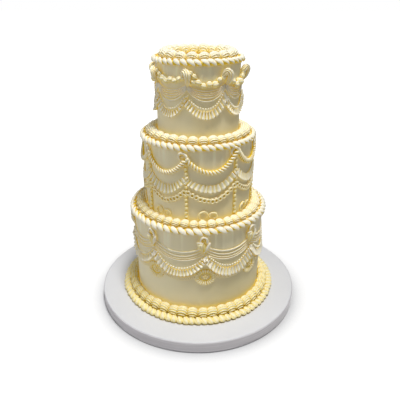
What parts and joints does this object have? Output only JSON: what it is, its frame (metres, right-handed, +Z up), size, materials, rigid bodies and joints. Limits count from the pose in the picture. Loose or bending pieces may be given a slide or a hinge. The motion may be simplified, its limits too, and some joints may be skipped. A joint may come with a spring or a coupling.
{
  "type": "tiered wedding cake",
  "caption": "Tall tiered wedding cake with smooth cream sides, piped shell and rope borders, hanging swags and ruffles, on a round board edged with ribbon.",
  "frame": {"origin": "centre of the board's underside", "axes": "+Z up through the tiers, -Y towards the front, +X to the right seen from the front"},
  "size_m": [0.408, 0.408, 0.5012],
  "materials": {
    "board_foil": "white embossed foil wrapped round the board, soft sheen",
    "satin_ribbon": "silver satin ribbon, fine lengthwise weave, bright soft glints",
    "smooth_buttercream": "smoothed ivory buttercream, faint scraper streaks",
    "piped_buttercream": "piped ivory buttercream, ridged, warmer yellow in the grooves"
  },
  "bodies": {
    "root": {"base_shell_border": "piped_buttercream", "base_stroke_border": "piped_buttercream", "bottom_fleur_1": "piped_buttercream", "bottom_fleur_2": "piped_buttercream", "bottom_fleur_3": "piped_buttercream", "bottom_fleur_4": "piped_buttercream", "bottom_fleur_5": "piped_buttercream", "bottom_fleur_6": "piped_buttercream", "bottom_fleur_7": "piped_buttercream", "bottom_fleur_8": "piped_buttercream", "bottom_lace_and_pendants": "piped_buttercream", "bottom_ledge_shells": "piped_buttercream", "bottom_rim_rope": "piped_buttercream", "bottom_ruffle_swags": "piped_buttercream", "bottom_tier": "smooth_buttercream", "cake_drum": "board_foil", "crown_shells": "piped_buttercream", "drum_ribbon": "satin_ribbon", "middle_ledge_shells": "piped_buttercream", "middle_rim_rope": "piped_buttercream", "middle_rope_garland": "piped_buttercream", "middle_rosette_1": "piped_buttercream", "middle_rosette_2": "piped_buttercream", "middle_rosette_3": "piped_buttercream", "middle_rosette_4": "piped_buttercream", "middle_rosette_5": "piped_buttercream", "middle_rosette_6": "piped_buttercream", "middle_rosette_7": "piped_buttercream", "middle_rosette_8": "piped_buttercream", "middle_ruffle_and_columns": "piped_buttercream", "middle_tier": "smooth_buttercream", "top_bead_garland": "piped_buttercream", "top_puff_1": "piped_buttercream", "top_puff_2": "piped_buttercream", "top_puff_3": "piped_buttercream", "top_puff_4": "piped_buttercream", "top_puff_5": "piped_buttercream", "top_puff_6": "piped_buttercream", "top_puff_7": "piped_buttercream", "top_puff_8": "piped_buttercream", "top_rim_rope": "piped_buttercream", "top_ruffle_swags": "piped_buttercream", "top_tier": "smooth_buttercream"}
  },
  "joints": []
}
